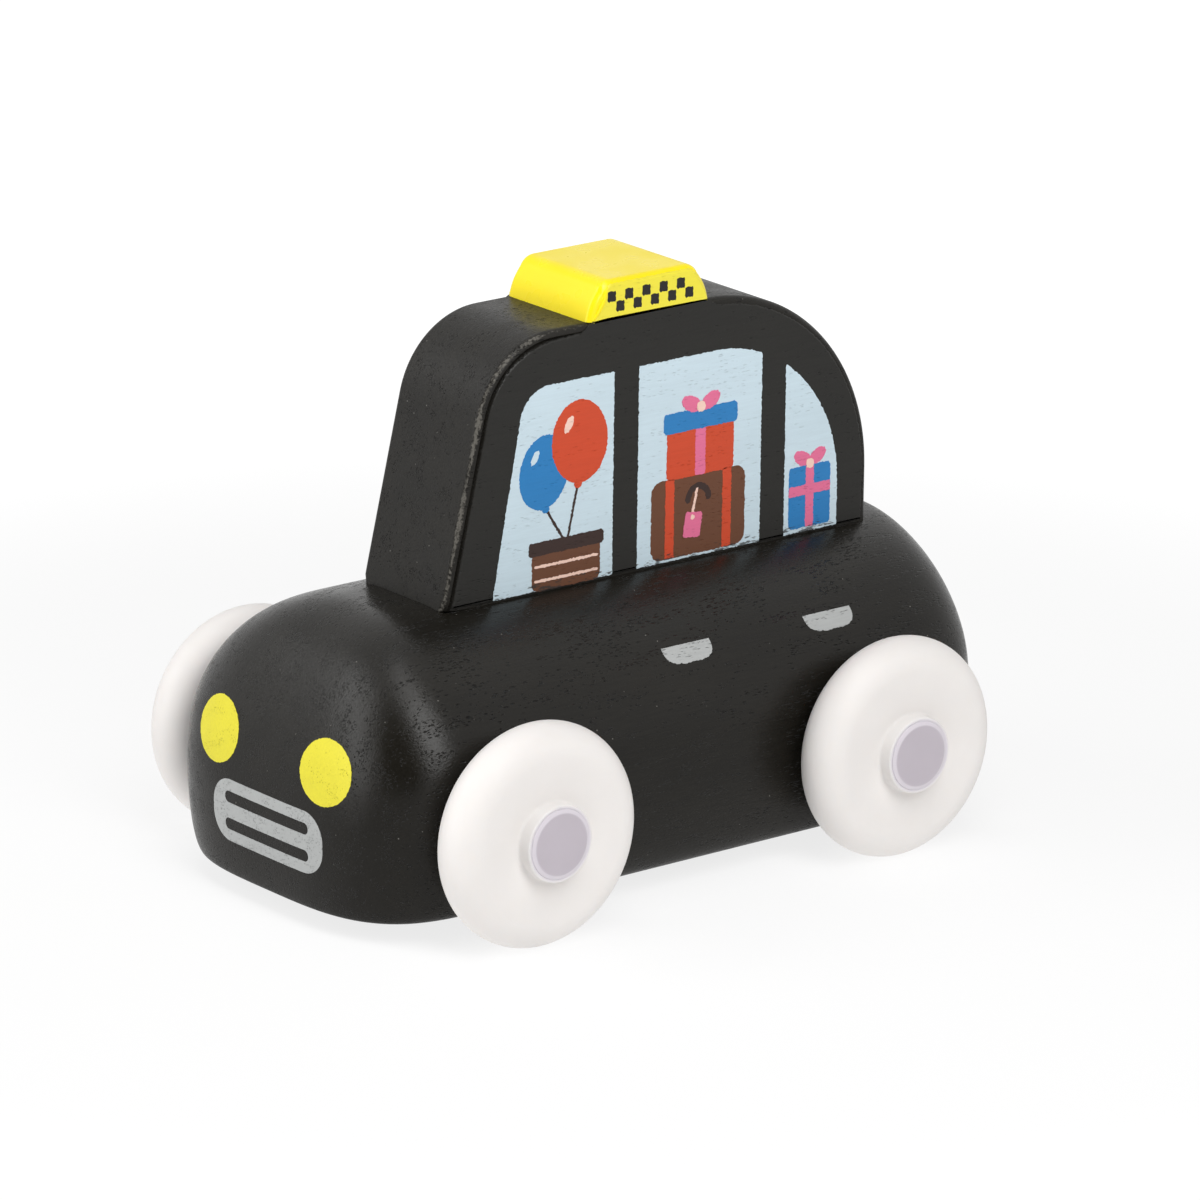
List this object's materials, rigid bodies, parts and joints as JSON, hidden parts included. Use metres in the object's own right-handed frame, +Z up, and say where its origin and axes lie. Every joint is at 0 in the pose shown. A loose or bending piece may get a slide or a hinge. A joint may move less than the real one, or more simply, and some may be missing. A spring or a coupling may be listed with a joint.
{
  "type": "toy taxi",
  "caption": "Wooden push-along toy taxi with a rolled-over black hull, an upright cabin slab with printed windows, a yellow roof sign and plastic wheels pressed on through axles.",
  "frame": {"origin": "on the floor under the middle of the hull, midway between its sides", "axes": "+X towards the nose, +Y towards the left side, +Z up"},
  "size_m": [0.0916, 0.0628, 0.0682],
  "materials": {
    "body_black": "satin black paint over close-grained wood",
    "cabin_black": "satin black paint over close-grained wood",
    "sign_yellow": "glossy yellow paint",
    "axle_lilac": "slightly translucent satin",
    "wheel_white": "satin warm white",
    "dowel_wood": "bare beech",
    "transfer_film": "satin printed film"
  },
  "bodies": {
    "body": {"body_block": "body_black", "cabin_block": "cabin_black", "roof_sign": "sign_yellow", "cabin_dowel_front": "dowel_wood", "cabin_dowel_rear": "dowel_wood", "sign_dowel": "dowel_wood", "side_transfer_left": "transfer_film", "side_transfer_right": "transfer_film"},
    "front_wheelset": {"front_axle": "axle_lilac", "wheel_front_left": "wheel_white", "wheel_front_right": "wheel_white"},
    "rear_wheelset": {"rear_axle": "axle_lilac", "wheel_rear_left": "wheel_white", "wheel_rear_right": "wheel_white"}
  },
  "joints": [
    {"name": "front_wheels_spin", "type": "hinge", "parent": "body", "child": "front_wheelset", "pos_m": [0.02795, 0, 0.013], "axis": [0, 1, 0], "continuous": true},
    {"name": "rear_wheels_spin", "type": "hinge", "parent": "body", "child": "rear_wheelset", "pos_m": [-0.02425, 0, 0.013], "axis": [0, 1, 0], "continuous": true}
  ]
}
